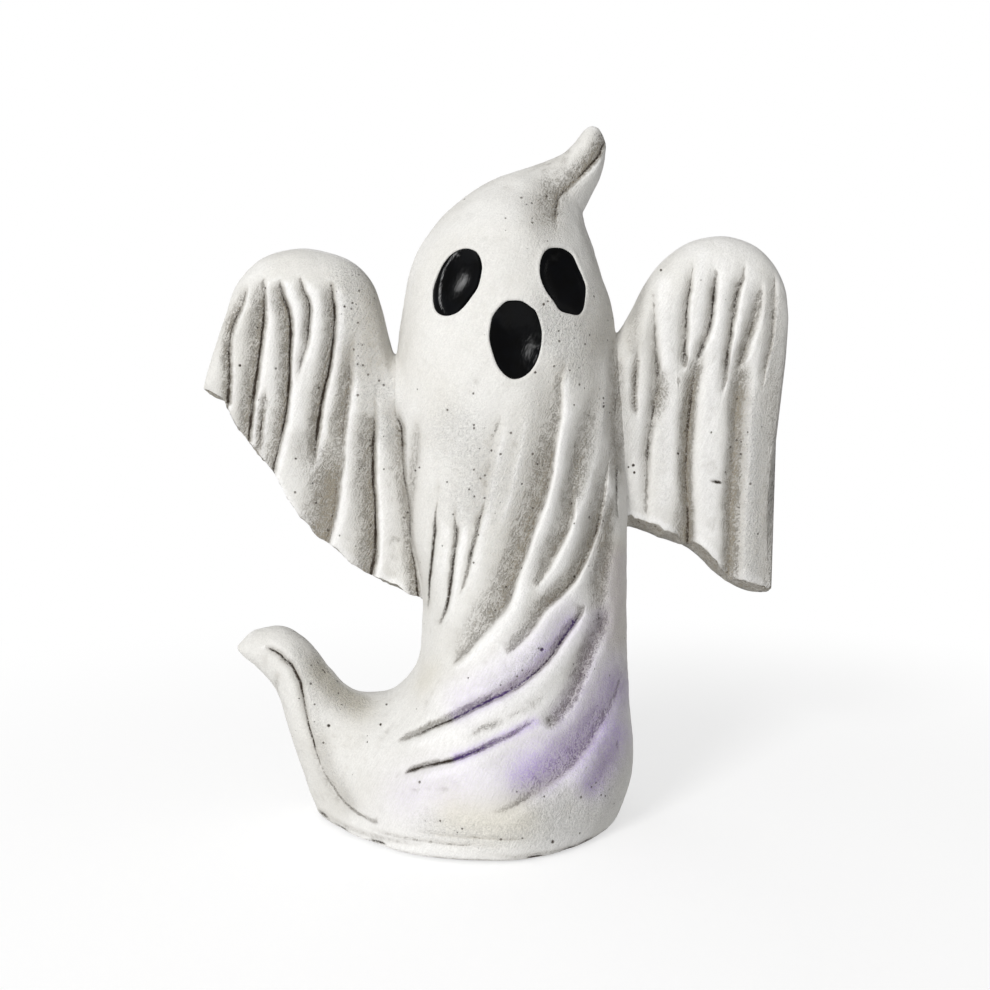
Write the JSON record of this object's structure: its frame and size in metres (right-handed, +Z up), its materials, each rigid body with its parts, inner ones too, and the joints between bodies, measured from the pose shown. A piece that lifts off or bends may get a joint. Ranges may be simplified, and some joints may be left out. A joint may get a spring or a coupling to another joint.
{
  "type": "resin ghost statue",
  "caption": "Hollow cast resin sheet ghost with raised sleeve arms, a curled head tip, a swept-up tail, glossy black eyes and mouth, and a flat padded base.",
  "frame": {"origin": "bottom centre of the whole statue's box, on the surface it stands on", "axes": "+Z up, -Y towards the viewer of the face, +X to that viewer's right"},
  "size_m": [0.279, 0.1485, 0.331],
  "materials": {
    "cast_resin": "matte",
    "black_gloss": "gloss",
    "dowel_steel": "satin",
    "base_board": "matte",
    "plaster": "matte",
    "felt": "matte"
  },
  "bodies": {
    "root": {"body_shell": "cast_resin", "left_arm": "cast_resin", "right_arm": "cast_resin", "left_eye": "black_gloss", "right_eye": "black_gloss", "mouth": "black_gloss", "left_arm_dowel_upper": "dowel_steel", "left_arm_dowel_lower": "dowel_steel", "right_arm_dowel_upper": "dowel_steel", "right_arm_dowel_lower": "dowel_steel", "base_plate": "base_board", "ballast": "plaster", "felt_pad_1": "felt", "felt_pad_2": "felt", "felt_pad_3": "felt", "felt_pad_4": "felt"}
  },
  "joints": []
}
